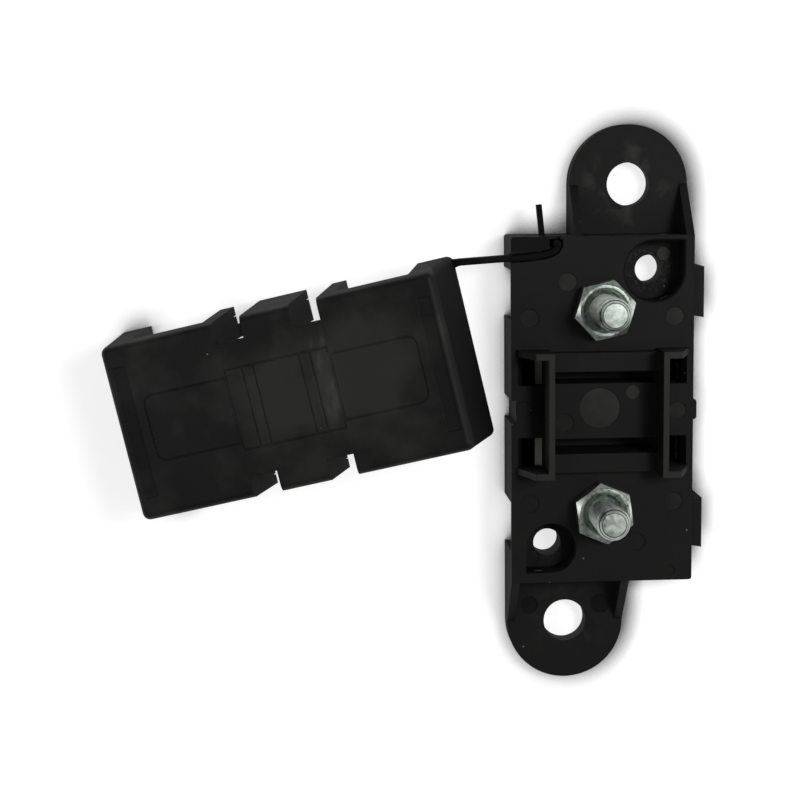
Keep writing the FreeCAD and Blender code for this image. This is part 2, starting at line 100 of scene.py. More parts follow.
# Black nylon: faint grey clouds in the pigment, an etched grain, a satin sheen that changes slowly over
# each face and turns matt where it is seen edge on, and sparse dust caught in the grain. The look function
# gives where wear and painted highlight and shade lie, the paint that shows there, and how polished or dull it
# is.
def moulded_nylon(name, colours, roughness, grain_size, edge_round, dust_above, wear_and_light_look):
    material, tree = new_material(name)
    place = add(tree, "ShaderNodeTexCoord").outputs["Object"]
    clouds = add(tree, "ShaderNodeTexNoise", {"Vector": place, "Scale": 1 / (cloud_size * mm), "Detail": 4.0,
                                              "Roughness": 0.6})
    specks = add(tree, "ShaderNodeTexNoise", {"Vector": place, "Scale": 1 / (speck_size * mm), "Detail": 2.0})
    blend = add(tree, "ShaderNodeMath", {0: clouds, 1: cloud_share}, operation="MULTIPLY")
    blend = add(tree, "ShaderNodeMath", {0: specks, 1: 1 - cloud_share, 2: blend}, operation="MULTIPLY_ADD")
    tint = add(tree, "ShaderNodeMapRange", {"Value": blend, "From Min": 0.35, "From Max": 0.65})
    paint = add(tree, "ShaderNodeMix", {0: tint, 6: srgb(colours[0]), 7: srgb(colours[1])}, data_type="RGBA")
    wear_and_light, wear_and_light_paint, shine = wear_and_light_look(tree, place)
    # Lays the wear and the painted highlights and shade over the pigment
    paint = add(tree, "ShaderNodeMix", {0: wear_and_light, 6: paint.outputs[2], 7: wear_and_light_paint}, data_type="RGBA")

    cells = add(tree, "ShaderNodeTexVoronoi", {"Vector": place, "Scale": 1 / (dust_spacing * mm),
                                               "Randomness": 1.0})
    near = add(tree, "ShaderNodeMath", {0: cells.outputs["Distance"], 1: dust_reach}, operation="LESS_THAN")
    pick = add(tree, "ShaderNodeSeparateColor", {0: cells.outputs["Color"]})
    some = add(tree, "ShaderNodeMath", {0: pick, 1: dust_above}, operation="GREATER_THAN")
    dust = add(tree, "ShaderNodeMath", {0: near, 1: some}, operation="MULTIPLY")
    paint = add(tree, "ShaderNodeMix", {0: dust, 6: paint.outputs[2], 7: srgb(dust_colour)}, data_type="RGBA")

    sheen = add(tree, "ShaderNodeMapRange", {"Value": clouds, "From Min": 0.3, "From Max": 0.7,
                                             "To Min": roughness[0], "To Max": roughness[1]})
    rubbed = add(tree, "ShaderNodeMath", {0: shine, 1: shine_on_roughness, 2: sheen}, operation="MULTIPLY_ADD")
    edge = add(tree, "ShaderNodeBevel", {"Radius": edge_round * mm}, samples=6)
    rim = add(tree, "ShaderNodeLayerWeight", {"Blend": 0.5, "Normal": edge})
    matt = add(tree, "ShaderNodeMapRange", {"Value": rim.outputs["Facing"], "From Min": 0.5, "From Max": 0.95,
                                            "To Min": rubbed, "To Max": edge_on_roughness})
    grain = add(tree, "ShaderNodeTexNoise", {"Vector": place, "Scale": 1 / (grain_size * mm), "Detail": 3.0})
    bump = add(tree, "ShaderNodeBump", {"Height": grain, "Normal": edge, "Strength": grain_strength,
                                        "Distance": grain_depth * mm})
    shader = add(tree, "ShaderNodeBsdfPrincipled", {"Base Color": paint.outputs[2], "Roughness": matt,
                                                    "Normal": bump, "IOR": 1.5, "Specular IOR Level": 0.16})
    add(tree, "ShaderNodeOutputMaterial", {"Surface": shader})
    return material


# Ejector pins leave discs 0.12 mm below the deck, the ears and the recesses, most of them paler, and
# palest in the fuse pocket and towards the right and the upper end, where a painted sheen lies on them.
# Screw washers have rubbed the ears round their holes, the upper one more, and the recesses' floors, drawn
# pale as a painted highlight on the wear. The cover has polished the catches, painted pale as a highlight,
# and the tops of the fuse walls, painted paler, part rub and part highlight.
ear_x = 4.7
ear_y = 33.0
recess_x = 7.6
recess_y = 20.5
mark_heights = (8.88, 4.28, 2.88)
pocket_middle = 1.7
pocket_half = (5.2, 6.0)
washer_edge = (7.8, 5.0)
seat_edge = (4.2, 2.6)
scuff_size = 3.4
chafe_size = 0.5
catch_middle = 9.27
catch_half = 0.52
catch_height = 7.05
wall_top = 15.0
rub_and_highlight_colours = ("#2f2f2d", "#707069")

# A pale line low on the outer wall of the right-hand slots, a painted glint, and what is painted darker as
# shade: the corner where the strap is held, the upper left buttress, and the pin marks in the lower ear
glint_x = 12.0
glint_height = 5.0
slot_middle = 6.05
slot_half = 2.1
glint_colour = "#dcdcd6"
corner_x = 6.9
corner_y = 23.5
corner_floor = 8.9
buttress_x = 9.4
buttress_middle = 12.0
buttress_half = 2.85
lower_ear_y = 28.0
dulling = 2.5
dark_colour = "#000000"


def marks_wear_and_painted_light(tree, place):
    x, y, z = add(tree, "ShaderNodeSeparateXYZ", {0: place}).outputs
    width = add(tree, "ShaderNodeMath", {0: x}, operation="ABSOLUTE")
    length = add(tree, "ShaderNodeMath", {0: y}, operation="ABSOLUTE")
    side = add(tree, "ShaderNodeMath", {0: y}, operation="SIGN")
    normal = add(tree, "ShaderNodeNewGeometry").outputs["True Normal"]
    up = add(tree, "ShaderNodeSeparateXYZ", {0: normal}).outputs[2]
    level = add(tree, "ShaderNodeMath", {0: up, 1: 0.9}, operation="GREATER_THAN")

    # Pin marks, paler, with a painted sheen towards the right, the upper end and the fuse pocket
    marks = [add(tree, "ShaderNodeMath", {0: z, 1: height * mm, 2: 0.03 * mm}, operation="COMPARE")
             for height in mark_heights]
    mark = add(tree, "ShaderNodeMath", {0: marks[0], 1: marks[1]}, operation="MAXIMUM")
    mark = add(tree, "ShaderNodeMath", {0: mark, 1: marks[2]}, operation="MAXIMUM")
    mark = add(tree, "ShaderNodeMath", {0: mark, 1: level}, operation="MULTIPLY")
    tone = add(tree, "ShaderNodeTexNoise", {"Vector": place, "Scale": 1 / (7 * mm), "Detail": 3.0,
                                            "Roughness": 0.7})
    tone = add(tree, "ShaderNodeMath", {0: tone, 1: 1.2, 2: -0.45}, operation="MULTIPLY_ADD")
    sheen_drift = add(tree, "ShaderNodeMath", {0: y, 1: 0.02 / mm}, operation="MULTIPLY")
    sheen_drift = add(tree, "ShaderNodeMath", {0: x, 1: 0.02 / mm, 2: sheen_drift}, operation="MULTIPLY_ADD")
    tone = add(tree, "ShaderNodeMath", {0: tone, 1: sheen_drift}, operation="ADD")
    pocket = add(tree, "ShaderNodeMath", {0: x, 1: pocket_middle * mm, 2: pocket_half[0] * mm},
                 operation="COMPARE")
    between = add(tree, "ShaderNodeMath", {0: length, 1: pocket_half[1] * mm}, operation="LESS_THAN")
    pocket = add(tree, "ShaderNodeMath", {0: pocket, 1: between}, operation="MULTIPLY")
    tone = add(tree, "ShaderNodeMath", {0: pocket, 1: 0.5, 2: tone}, operation="MULTIPLY_ADD")
    tone = add(tree, "ShaderNodeClamp", {0: tone})
    mark = add(tree, "ShaderNodeMath", {0: mark, 1: tone}, operation="MULTIPLY")

    # Rings that the washers and the screw heads have rubbed, drawn pale as a painted highlight, more at the upper
    # end
    scuff = add(tree, "ShaderNodeTexNoise", {"Vector": place, "Scale": 1 / (scuff_size * mm), "Detail": 4.0,
                                             "Roughness": 0.6, "Distortion": 0.3})
    scuff = add(tree, "ShaderNodeMapRange", {"Value": scuff, "From Min": 0.5, "From Max": 0.75})
    fine = add(tree, "ShaderNodeTexNoise", {"Vector": place, "Scale": 1 / (chafe_size * mm), "Detail": 2.0})
    chafe = add(tree, "ShaderNodeMapRange", {"Value": fine, "From Min": 0.53, "From Max": 0.68})
    turned = add(tree, "ShaderNodeMath", {0: x, 1: side}, operation="MULTIPLY")
    rings = []
    for centre_x, centre_y, (outer, inner), pattern in ((ear_x, ear_y, washer_edge, scuff),
                                                        (recess_x, recess_y, seat_edge, chafe)):
        across = add(tree, "ShaderNodeMath", {0: turned, 1: centre_x * mm}, operation="SUBTRACT")
        along = add(tree, "ShaderNodeMath", {0: length, 1: centre_y * mm}, operation="SUBTRACT")
        across = add(tree, "ShaderNodeMath", {0: across, 1: across}, operation="MULTIPLY")
        along = add(tree, "ShaderNodeMath", {0: along, 1: along}, operation="MULTIPLY")
        reach = add(tree, "ShaderNodeMath", {0: across, 1: along}, operation="ADD")
        reach = add(tree, "ShaderNodeMath", {0: reach}, operation="SQRT")
        ring = add(tree, "ShaderNodeMapRange", {"Value": reach, "From Min": outer * mm, "From Max": inner * mm},
                   interpolation_type="SMOOTHSTEP")
        rings.append(add(tree, "ShaderNodeMath", {0: ring, 1: pattern}, operation="MULTIPLY"))
    share = add(tree, "ShaderNodeMapRange", {"Value": side, "From Min": -1.0, "To Min": 0.3, "To Max": 0.9})
    rub_and_highlight = add(tree, "ShaderNodeMath", {0: rings[0], 1: rings[1]}, operation="MAXIMUM")
    rub_and_highlight = add(tree, "ShaderNodeMath", {0: rub_and_highlight, 1: share}, operation="MULTIPLY")

    # Catches, painted pale as a highlight, and wall tops, painted paler, part rub and part highlight
    beside = add(tree, "ShaderNodeMath", {0: width, 1: catch_middle * mm, 2: catch_half * mm},
                 operation="COMPARE")
    high = add(tree, "ShaderNodeMath", {0: z, 1: catch_height * mm, 2: 0.3 * mm}, operation="COMPARE")
    catch_highlight = add(tree, "ShaderNodeMath", {0: beside, 1: high}, operation="MULTIPLY")
    top_rub_and_highlight = add(tree, "ShaderNodeMath", {0: z, 1: wall_top * mm, 2: 0.05 * mm}, operation="COMPARE")
    top_rub_and_highlight = add(tree, "ShaderNodeMath", {0: top_rub_and_highlight, 1: 0.6}, operation="MULTIPLY")

    # Painted glint low on the slots' outer wall, broken up
    low = add(tree, "ShaderNodeMath", {0: z, 1: glint_height * mm, 2: 0.5 * mm}, operation="COMPARE")
    outer_wall = add(tree, "ShaderNodeMath", {0: x, 1: glint_x * mm, 2: 0.3 * mm}, operation="COMPARE")
    slots = add(tree, "ShaderNodeMath", {0: length, 1: slot_middle * mm, 2: slot_half * mm},
                operation="COMPARE")
    broken = add(tree, "ShaderNodeMath", {0: fine, 1: 0.42}, operation="GREATER_THAN")
    painted_glint = add(tree, "ShaderNodeMath", {0: low, 1: outer_wall}, operation="MULTIPLY")
    painted_glint = add(tree, "ShaderNodeMath", {0: painted_glint, 1: slots}, operation="MULTIPLY")
    painted_glint = add(tree, "ShaderNodeMath", {0: painted_glint, 1: broken}, operation="MULTIPLY")

    # Painted shade
    left = add(tree, "ShaderNodeMath", {0: x, 1: -corner_x * mm}, operation="LESS_THAN")
    back = add(tree, "ShaderNodeMath", {0: y, 1: corner_y * mm}, operation="GREATER_THAN")
    above = add(tree, "ShaderNodeMath", {0: z, 1: corner_floor * mm}, operation="GREATER_THAN")
    corner = add(tree, "ShaderNodeMath", {0: left, 1: back}, operation="MULTIPLY")
    corner = add(tree, "ShaderNodeMath", {0: corner, 1: above}, operation="MULTIPLY")
    corner = add(tree, "ShaderNodeMath", {0: corner, 1: 0.5}, operation="MULTIPLY")
    left = add(tree, "ShaderNodeMath", {0: x, 1: -buttress_x * mm}, operation="LESS_THAN")
    above = add(tree, "ShaderNodeMath", {0: z, 1: buttress_middle * mm, 2: buttress_half * mm},
                operation="COMPARE")
    back = add(tree, "ShaderNodeMath", {0: side, 1: 0.0}, operation="GREATER_THAN")
    buttress = add(tree, "ShaderNodeMath", {0: left, 1: above}, operation="MULTIPLY")
    buttress = add(tree, "ShaderNodeMath", {0: buttress, 1: back}, operation="MULTIPLY")
    front = add(tree, "ShaderNodeMath", {0: y, 1: -lower_ear_y * mm}, operation="LESS_THAN")
    pins = add(tree, "ShaderNodeMath", {0: marks[2], 1: front}, operation="MULTIPLY")
    pins = add(tree, "ShaderNodeMath", {0: pins, 1: level}, operation="MULTIPLY")
    pins = add(tree, "ShaderNodeMath", {0: pins, 1: 0.5}, operation="MULTIPLY")
    painted_shade = add(tree, "ShaderNodeMath", {0: buttress, 1: pins}, operation="MAXIMUM")
    painted_shade = add(tree, "ShaderNodeMath", {0: corner, 1: painted_shade}, operation="MAXIMUM")

    wear_and_light = add(tree, "ShaderNodeMath", {0: catch_highlight, 1: top_rub_and_highlight}, operation="MAXIMUM")
    wear_and_light = add(tree, "ShaderNodeMath", {0: rub_and_highlight, 1: wear_and_light}, operation="MAXIMUM")
    wear_and_light = add(tree, "ShaderNodeMath", {0: mark, 1: wear_and_light}, operation="MAXIMUM")
    dull = add(tree, "ShaderNodeMath", {0: painted_shade, 1: dulling}, operation="MULTIPLY")
    shine = add(tree, "ShaderNodeMath", {0: wear_and_light, 1: dull}, operation="SUBTRACT")
    painted_shade_and_glint = add(tree, "ShaderNodeMath", {0: painted_shade, 1: painted_glint}, operation="MAXIMUM")
    wear_and_light = add(tree, "ShaderNodeMath", {0: wear_and_light, 1: painted_shade_and_glint}, operation="MAXIMUM")
    # Rub paint, turning to the catches' painted highlight
    paint = add(tree, "ShaderNodeMix", {0: catch_highlight, 6: srgb(rub_and_highlight_colours[0]), 7: srgb(rub_and_highlight_colours[1])},
                data_type="RGBA")
    # Painted shade in black, then the painted glint in pale grey
    dark = add(tree, "ShaderNodeMath", {0: painted_shade, 1: 0.01}, operation="GREATER_THAN")
    for share, colour in ((dark, dark_colour), (painted_glint, glint_colour)):
        paint = add(tree, "ShaderNodeMix", {0: share, 6: paint.outputs[2], 7: srgb(colour)}, data_type="RGBA")
    return wear_and_light, paint.outputs[2], shine


base_nylon = moulded_nylon("glass_filled_nylon", base_colours, base_roughness, base_grain, base_edge_round,
                           base_dust_above, marks_wear_and_painted_light)
dress(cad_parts["base_housing"], base_nylon)

# Studs: two M5 steel studs with rolled threads of 0.8 mm pitch, zinc plated and pressed up into
# hexagon seats from below. The cut tip is flat and bright, with a dark ring painted as shade at either edge
# of its chamfer, and a turned groove ends the thread.
stud_spacing = 30.0
stud_diameter = 4.9
thread_pitch = 0.8
thread_depth = 0.3
groove_depth = 0.25
groove_width = 0.4
stud_foot = 2.6
stud_tip = 19.8
stud_tip_diameter = 3.6
stud_tip_length = 0.9
head_flats = 8.0
head_low = 0.6
head_high = 3.6
thread_sides = 48
thread_rows = 220
ring_radii = (1.76, 2.14)
ring_half = 0.07
chamfer_shade_colour = "#4a524c"
stud_colours = ("#98a197", "#cdd5ce")
stud_roughness = (0.34, 0.5)
zinc_cloud_size = 0.8
zinc_grain_size = 0.2
zinc_edge_round = 0.1


# Bright zinc: a metal with a milky, faintly green passivation that clouds its reflections
def zinc_plate(name, colours, roughness, radii):
    material, tree = new_material(name)
    place = add(tree, "ShaderNodeTexCoord").outputs["Object"]
    clouds = add(tree, "ShaderNodeTexNoise", {"Vector": place, "Scale": 1 / (zinc_cloud_size * mm),
                                              "Detail": 5.0, "Roughness": 0.65})
    clouds = add(tree, "ShaderNodeMapRange", {"Value": clouds, "From Min": 0.35, "From Max": 0.65})
    grain = add(tree, "ShaderNodeTexNoise", {"Vector": place, "Scale": 1 / (zinc_grain_size * mm),
                                             "Detail": 2.0})
    paint = add(tree, "ShaderNodeMix", {0: clouds, 6: srgb(colours[0]), 7: srgb(colours[1])},
                data_type="RGBA")
    # Painted shade: a dark ring at each edge of the stud tip's chamfer
    for radius in radii:
        apart = add(tree, "ShaderNodeVectorMath", {0: place}, operation="ABSOLUTE")
        apart = add(tree, "ShaderNodeVectorMath", {0: apart, 1: (0.0, stud_spacing / 2 * mm, 0.0)},
                    operation="SUBTRACT")
        flat = add(tree, "ShaderNodeVectorMath", {0: apart, 1: (1.0, 1.0, 0.0)}, operation="MULTIPLY")
        reach = add(tree, "ShaderNodeVectorMath", {0: flat}, operation="LENGTH").outputs["Value"]
        height = add(tree, "ShaderNodeSeparateXYZ", {0: place}).outputs[2]
        line = add(tree, "ShaderNodeMath", {0: reach, 1: radius * mm, 2: ring_half * mm}, operation="COMPARE")
        high = add(tree, "ShaderNodeMath", {0: height, 1: (stud_tip - stud_tip_length) * mm},
                   operation="GREATER_THAN")
        cut = add(tree, "ShaderNodeMath", {0: line, 1: high}, operation="MULTIPLY")
        paint = add(tree, "ShaderNodeMix", {0: cut, 6: paint.outputs[2], 7: srgb(chamfer_shade_colour)},
                    data_type="RGBA")
    rough = add(tree, "ShaderNodeMapRange", {"Value": clouds, "To Min": roughness[0], "To Max": roughness[1]})
    edge = add(tree, "ShaderNodeBevel", {"Radius": zinc_edge_round * mm}, samples=8)
    bump = add(tree, "ShaderNodeBump", {"Height": grain, "Normal": edge, "Strength": 0.12,
                                        "Distance": 0.02 * mm})
    shader = add(tree, "ShaderNodeBsdfPrincipled", {"Base Color": paint.outputs[2], "Roughness": rough,
                                                    "Normal": bump, "Metallic": 1.0})
    add(tree, "ShaderNodeOutputMaterial", {"Surface": shader})
    return material


stud_zinc = zinc_plate("zinc_plated_stud", stud_colours, stud_roughness, ring_radii)


# A grid is wound round the stud's axis: its x goes round once and its y climbs from the foot to the tip
def threaded_stud_tree():
    tree = bpy.data.node_groups.new("threaded_stud", "GeometryNodeTree")
    sizes = [("Diameter", stud_diameter), ("Pitch", thread_pitch), ("Depth", thread_depth), ("Foot", stud_foot),
             ("Tip", stud_tip), ("Tip Diameter", stud_tip_diameter), ("Tip Length", stud_tip_length),
             ("Groove Depth", groove_depth), ("Groove Width", groove_width), ("Head Flats", head_flats),
             ("Head Low", head_low), ("Head High", head_high), ("Place Y", 0.0)]
    for name, value in sizes:
        socket = tree.interface.new_socket(name, in_out="INPUT", socket_type="NodeSocketFloat")
        socket.default_value = value * mm
    tree.interface.new_socket("Finish", in_out="INPUT", socket_type="NodeSocketMaterial")
    tree.interface.new_socket("Stud", in_out="OUTPUT", socket_type="NodeSocketGeometry")
    given = add(tree, "NodeGroupInput").outputs

    grid = add(tree, "GeometryNodeMeshGrid", {"Size X": 1.0, "Size Y": 1.0, "Vertices X": thread_sides + 1,
                                              "Vertices Y": thread_rows})
    spot = add(tree, "ShaderNodeSeparateXYZ", {0: add(tree, "GeometryNodeInputPosition")}).outputs
    turn = add(tree, "ShaderNodeMath", {0: spot[0], 1: 0.5}, operation="ADD")
    climb = add(tree, "ShaderNodeMath", {0: spot[1], 1: 0.5}, operation="ADD")
    length = add(tree, "ShaderNodeMath", {0: given["Tip"], 1: given["Foot"]}, operation="SUBTRACT")
    height = add(tree, "ShaderNodeMath", {0: climb, 1: length, 2: given["Foot"]}, operation="MULTIPLY_ADD")

    # The thread's groove, which fades out under the chamfer
    phase = add(tree, "ShaderNodeMath", {0: height, 1: given["Pitch"]}, operation="DIVIDE")
    phase = add(tree, "ShaderNodeMath", {0: phase, 1: turn}, operation="SUBTRACT")
    phase = add(tree, "ShaderNodeMath", {0: phase}, operation="FRACT")
    wave = add(tree, "ShaderNodeMath", {0: phase, 1: 0.5}, operation="SUBTRACT")
    wave = add(tree, "ShaderNodeMath", {0: wave}, operation="ABSOLUTE")
    wave = add(tree, "ShaderNodeMath", {0: wave, 1: 2.0}, operation="MULTIPLY")
    cut = add(tree, "ShaderNodeMapRange", {"Value": wave, "From Min": 0.12, "From Max": 0.88})
    cut = add(tree, "ShaderNodeMath", {0: cut, 1: given["Depth"]}, operation="MULTIPLY")
    shoulder = add(tree, "ShaderNodeMath", {0: given["Tip"], 1: given["Tip Length"]}, operation="SUBTRACT")
    fade = add(tree, "ShaderNodeMath", {0: shoulder, 1: height}, operation="SUBTRACT")
    fade = add(tree, "ShaderNodeMath", {0: fade, 1: given["Tip Length"]}, operation="DIVIDE")
    fade = add(tree, "ShaderNodeClamp", {0: fade})
    cut = add(tree, "ShaderNodeMath", {0: cut, 1: fade}, operation="MULTIPLY")

    # The turned groove under the tip
    neck = add(tree, "ShaderNodeMath", {0: shoulder, 1: given["Groove Width"]}, operation="SUBTRACT")
    off = add(tree, "ShaderNodeMath", {0: height, 1: neck}, operation="SUBTRACT")
    off = add(tree, "ShaderNodeMath", {0: off}, operation="ABSOLUTE")
    off = add(tree, "ShaderNodeMath", {0: off, 1: given["Groove Width"]}, operation="DIVIDE")
    turned = add(tree, "ShaderNodeMapRange", {"Value": off, "From Min": 0.5, "From Max": 0.2,
                                              "To Max": given["Groove Depth"]})
    crest = add(tree, "ShaderNodeMath", {0: given["Diameter"], 1: 0.5}, operation="MULTIPLY")
    cut = add(tree, "ShaderNodeMath", {0: cut, 1: turned}, operation="MAXIMUM")
    thread = add(tree, "ShaderNodeMath", {0: crest, 1: cut}, operation="SUBTRACT")

    # The chamfer, and the closed ends
    tip_radius = add(tree, "ShaderNodeMath", {0: given["Tip Diameter"], 1: 0.5}, operation="MULTIPLY")
    slope = add(tree, "ShaderNodeMath", {0: crest, 1: tip_radius}, operation="SUBTRACT")
    slope = add(tree, "ShaderNodeMath", {0: slope, 1: given["Tip Length"]}, operation="DIVIDE")
    below = add(tree, "ShaderNodeMath", {0: given["Tip"], 1: height}, operation="SUBTRACT")
    cone = add(tree, "ShaderNodeMath", {0: below, 1: slope, 2: tip_radius}, operation="MULTIPLY_ADD")
    radius = add(tree, "ShaderNodeMath", {0: thread, 1: cone}, operation="MINIMUM")
    first = add(tree, "ShaderNodeMath", {0: climb, 1: 0.5 / thread_rows}, operation="GREATER_THAN")
    last = add(tree, "ShaderNodeMath", {0: climb, 1: 1 - 0.5 / thread_rows}, operation="LESS_THAN")
    inside = add(tree, "ShaderNodeMath", {0: first, 1: last}, operation="MULTIPLY")
    radius = add(tree, "ShaderNodeMath", {0: radius, 1: inside}, operation="MULTIPLY")

    angle = add(tree, "ShaderNodeMath", {0: turn, 1: 2 * math.pi}, operation="MULTIPLY")
    x = add(tree, "ShaderNodeMath", {0: angle}, operation="COSINE")
    x = add(tree, "ShaderNodeMath", {0: radius, 1: x}, operation="MULTIPLY")
    y = add(tree, "ShaderNodeMath", {0: angle}, operation="SINE")
    y = add(tree, "ShaderNodeMath", {0: radius, 1: y, 2: given["Place Y"]}, operation="MULTIPLY_ADD")
    shape = add(tree, "ShaderNodeCombineXYZ", {0: x, 1: y, 2: height})
    shank = add(tree, "GeometryNodeSetPosition", {"Geometry": grid, "Position": shape})
    shank = add(tree, "GeometryNodeMergeByDistance", {"Geometry": shank, "Distance": 0.002 * mm})

    head_depth = add(tree, "ShaderNodeMath", {0: given["Head High"], 1: given["Head Low"]},
                     operation="SUBTRACT")
    corner = add(tree, "ShaderNodeMath", {0: given["Head Flats"], 1: math.sqrt(3)}, operation="DIVIDE")
    head = add(tree, "GeometryNodeMeshCylinder", {"Vertices": 6, "Radius": corner, "Depth": head_depth})
    middle = add(tree, "ShaderNodeMath", {0: given["Head High"], 1: given["Head Low"]}, operation="ADD")
    middle = add(tree, "ShaderNodeMath", {0: middle, 1: 0.5}, operation="MULTIPLY")
    seat = add(tree, "ShaderNodeCombineXYZ", {1: given["Place Y"], 2: middle})
    head = add(tree, "GeometryNodeTransform", {"Geometry": head, "Translation": seat})
    both = add(tree, "GeometryNodeJoinGeometry")
    for part in (shank, head):
        tree.links.new(part.outputs[0], both.inputs[0])
    real = add(tree, "GeometryNodeRealizeInstances", {0: both})
    done = add(tree, "GeometryNodeSetMaterial", {"Geometry": real, "Material": given["Finish"]})
    add(tree, "NodeGroupOutput", {"Stud": done})
    return tree


def grown(name, tree, inputs):
    seed = bpy.data.objects.new(name + "_seed", bpy.data.meshes.new(name + "_seed"))
    bpy.context.scene.collection.objects.link(seed)
    modifier = seed.modifiers.new("grow", "NODES")
    modifier.node_group = tree
    for item in tree.interface.items_tree:
        if item.in_out == "INPUT" and item.name in inputs:
            modifier[item.identifier] = inputs[item.name]
    mesh = bpy.data.meshes.new_from_object(seed.evaluated_get(bpy.context.evaluated_depsgraph_get()))
    seed.modifiers.remove(modifier)
    bpy.data.objects.remove(seed)
    mesh.name = name
    piece = bpy.data.objects.new(name, mesh)
    bpy.context.scene.collection.objects.link(piece)
    return piece


def smooth_by_angle(piece, degrees):
    form = bmesh.new()
    form.from_mesh(piece.data)
    bmesh.ops.recalc_face_normals(form, faces=form.faces)
    for face in form.faces:
        face.smooth = True
    for edge in form.edges:
        if len(edge.link_faces) == 2 and edge.calc_face_angle() > math.radians(degrees):
            edge.smooth = False
    form.to_mesh(piece.data)
    form.free()


stud_tree = threaded_stud_tree()
for name, side in (("upper", 1), ("lower", -1)):
    given = {"Place Y": side * stud_spacing / 2 * mm, "Finish": stud_zinc}
    stud = grown(name + "_threaded_stud", stud_tree, given)
    smooth_by_angle(stud, 50)
    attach(stud, "base")
    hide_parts(name + "_stud")

# Nuts: thin M5 hexagon nuts, pressed and tapped from mild steel and zinc plated like the studs.
# Their chamfers are bright turned rings, and the flat faces are a little clouded.
nut_colours = ("#949d94", "#c6cfc7")
nut_roughness = (0.26, 0.38)
nut_zinc = zinc_plate("zinc_plated_nut", nut_colours, nut_roughness, ())
for name in ("upper_nut", "lower_nut"):
    dress(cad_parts[name], nut_zinc)

# Strap: a flat ribbon moulded in one with the cover. Its end is hooked into the corner of the base, where
# a round knob holds it, and the thin tail that pulled it through pokes out. It is smooth unfilled nylon.
strap_thickness = 1.0
strap_height = 2.0
strap_edge_round = 0.3
strap_middle = 8.0
knob_diameter = 1.3
knob_place = (-6.65, 24.5)
knob_low = 5.2
knob_high = 9.0
knob_edge = 0.3
knob_sides = 28
tail_width = 0.8
tail_height = 1.6
tail_edge_round = 0.3
tail_middle = 6.0
pivot_a = Vector((-14.2, 22.56, 8.0))
pivot_b = Vector((-21.155, 22.277, 10.376))
strap_line = [(-13.5, 22.56), (-11.75, 22.7), (-9.92, 22.85), (-8.55, 23.06), (-7.64, 23.32), (-7.0, 23.66),
              (-6.7, 24.1), (-6.65, 24.5)]
tail_line = [(-6.65, 24.5), (-7.4, 24.6), (-8.1, 24.75), (-8.5, 25.15), (-8.6, 25.7), (-8.83, 27.98),
             (-9.06, 30.25)]
cover_yaw = 13.29
root_fall = 0.196
root_length = 1.4
root_flare = 0.7
flare_rings = 6
strap_colours = ("#040404", "#080808")
strap_worn_colour = "#161616"
strap_roughness = (0.8, 0.88)
smooth_grain = 0.2
smooth_edge_round = 0.18
smooth_dust_above = 0.92


# A rectangle with rounded corners, as points across and up
def rounded_section(width, height, r, steps=4):
    section = []
    for i, (sx, sy) in enumerate(((1, 1), (-1, 1), (-1, -1), (1, -1))):
        for k in range(steps + 1):
            a = math.radians(90 * (i + k / steps))
            section.append((sx * (width / 2 - r) + r * math.cos(a), sy * (height / 2 - r) + r * math.sin(a)))
    return section


# Carries a section along a route, upright, with flat ends
def sweep(form, route, section, scales=None):
    rings = []
    for k, point in enumerate(route):
        ahead = route[min(k + 1, len(route) - 1)] - route[max(k - 1, 0)]
        across = Vector((-ahead.y, ahead.x, 0)).normalized()
        wide = scales[k] if scales else 1.0
        rings.append([form.verts.new((point + across * s * wide + Vector((0, 0, t))) * mm) for s, t in section])
    for low, high in zip(rings, rings[1:]):
        for i in range(len(section)):
            j = (i + 1) % len(section)
            form.faces.new((low[i], low[j], high[j], high[i]))
    form.faces.new(rings[0][::-1])
    form.faces.new(rings[-1])


def smooth_route(points, steps=5):
    route = []
    for k in range(len(points) - 1):
        p0, p1, p2, p3 = (points[min(max(k + i, 0), len(points) - 1)] for i in (-1, 0, 1, 2))
        for n in range(steps):
            t = n / steps
            route.append(0.5 * (2 * p1 + (p2 - p0) * t + (2 * p0 - 5 * p1 + 4 * p2 - p3) * t ** 2
                                + (3 * p1 - p0 - 3 * p2 + p3) * t ** 3))
    return route + [points[-1]]


# The round knob on the strap's end, with a rounded top edge
def knob(form, centre, radius, low, high, edge):
    side = [(radius, low), (radius, high - edge), (radius - edge * 0.3, high - edge * 0.3), (radius - edge, high)]
    rings = []
    for r, z in side:
        ring = []
        for i in range(knob_sides):
            a = i * math.pi / (knob_sides / 2)
            spot = (centre + Vector((r * math.cos(a), r * math.sin(a), 0))) * mm + Vector((0, 0, z * mm))
            ring.append(form.verts.new(spot))
        rings.append(ring)
    for one, two in zip(rings, rings[1:]):
        for i in range(knob_sides):
            j = (i + 1) % knob_sides
            form.faces.new((one[i], one[j], two[j], two[i]))
    form.faces.new(rings[0][::-1])
    form.faces.new(rings[-1])


def settle(name, form, degrees=50):
    mesh = bpy.data.meshes.new(name)
    form.to_mesh(mesh)
    form.free()
    piece = bpy.data.objects.new(name, mesh)
    bpy.context.scene.collection.objects.link(piece)
    smooth_by_angle(piece, degrees)
    return piece


# The strap is bent and pulled, never handled, and keeps its deep black
def unworn(tree, place):
    fade = add(tree, "ShaderNodeTexNoise", {"Vector": place, "Scale": 1 / (4 * mm), "Detail": 2.0})
    fade = add(tree, "ShaderNodeMapRange", {"Value": fade, "From Min": 0.55, "From Max": 0.8, "To Max": 0.3})
    return fade, srgb(strap_worn_colour), fade


